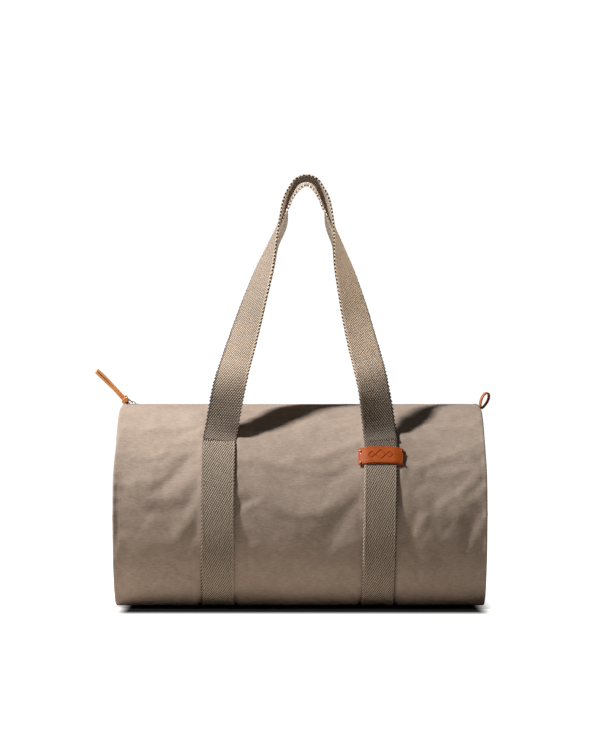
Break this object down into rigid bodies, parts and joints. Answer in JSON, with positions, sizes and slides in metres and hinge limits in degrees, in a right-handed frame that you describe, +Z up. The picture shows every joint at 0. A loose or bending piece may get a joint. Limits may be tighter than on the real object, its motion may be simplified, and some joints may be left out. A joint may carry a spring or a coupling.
{
  "type": "duffel bag",
  "caption": "Canvas barrel duffel bag with a zipped mouth, two long webbing handles, a leather label, a leather zip pull and an end loop.",
  "frame": {"origin": "centre of the face the bag rests on, midway between its end seams", "axes": "+X along the barrel from the end where the closed zip's slider stands, +Z up, so -Y is the front with the label"},
  "size_m": [0.4793, 0.2576, 0.5171],
  "materials": {
    "canvas": "matte heavy cotton canvas, warm grey-beige",
    "lining": "matte plain cotton",
    "webbing": "matte twill cotton webbing",
    "leather": "natural tan leather, slightly waxed",
    "zip_tape": "matte woven tape",
    "nickel": "satin nickel",
    "rivet_brass": "dull copper-coloured"
  },
  "bodies": {
    "shell": {"body_panel": "canvas", "end_panel_left": "canvas", "end_panel_right": "canvas", "lining_body": "lining", "lining_end_left": "lining", "lining_end_right": "lining", "strap_left": "webbing", "strap_right": "webbing", "label": "leather", "label_rivet_1": "rivet_brass", "label_rivet_2": "rivet_brass", "label_rivet_3": "rivet_brass", "label_rivet_4": "rivet_brass", "zip_end_tab_left": "canvas", "zip_end_tab_right": "canvas", "zip_bottom_stop": "nickel"},
    "mouth_front": {"mouth_canvas_front": "canvas", "mouth_lining_front": "lining", "zip_tape_front": "zip_tape", "zip_teeth_front": "nickel", "zip_top_stop_front": "nickel"},
    "mouth_rear": {"mouth_canvas_rear": "canvas", "mouth_lining_rear": "lining", "zip_tape_rear": "zip_tape", "zip_teeth_rear": "nickel", "zip_top_stop_rear": "nickel"},
    "slider": {"zip_slider": "nickel"},
    "pull": {"pull_ring": "nickel", "pull_thong": "leather"},
    "front_handle": {"handle_front": "webbing"},
    "rear_handle": {"handle_rear": "webbing"},
    "loop": {"end_loop": "leather"}
  },
  "joints": [
    {"name": "slider_slide", "type": "slide", "parent": "shell", "child": "slider", "axis": [1, 0, 0], "range_m": [0, 0.39]},
    {"name": "pull_swing", "type": "hinge", "parent": "slider", "child": "pull", "pos_m": [-0.204, 0, 0.2415], "axis": [0, 1, 0], "range_deg": [0, 125]},
    {"name": "mouth_front_open", "type": "hinge", "parent": "shell", "child": "mouth_front", "pos_m": [0, -0.0807, 0.211], "axis": [1, 0, 0], "range_deg": [0, 60]},
    {"name": "mouth_rear_open", "type": "hinge", "parent": "shell", "child": "mouth_rear", "pos_m": [0, 0.0807, 0.211], "axis": [1, 0, 0], "range_deg": [-60, 0]},
    {"name": "handle_front_fold", "type": "hinge", "parent": "shell", "child": "front_handle", "pos_m": [0, -0.099, 0.1971], "axis": [1, 0, 0], "range_deg": [0, 115]},
    {"name": "handle_rear_fold", "type": "hinge", "parent": "shell", "child": "rear_handle", "pos_m": [0, 0.099, 0.1971], "axis": [1, 0, 0], "range_deg": [-115, 0]},
    {"name": "end_loop_flex", "type": "hinge", "parent": "shell", "child": "loop", "pos_m": [0.2224, 0, 0.2357], "axis": [0, 1, 0], "range_deg": [-30, 60], "stiffness_Nm_per_rad": 0.0005}
  ],
  "couplings": [
    {"joint": "mouth_front_open", "follows": "slider_slide", "rad_per_m": 2.685},
    {"joint": "mouth_rear_open", "follows": "slider_slide", "rad_per_m": -2.685}
  ]
}
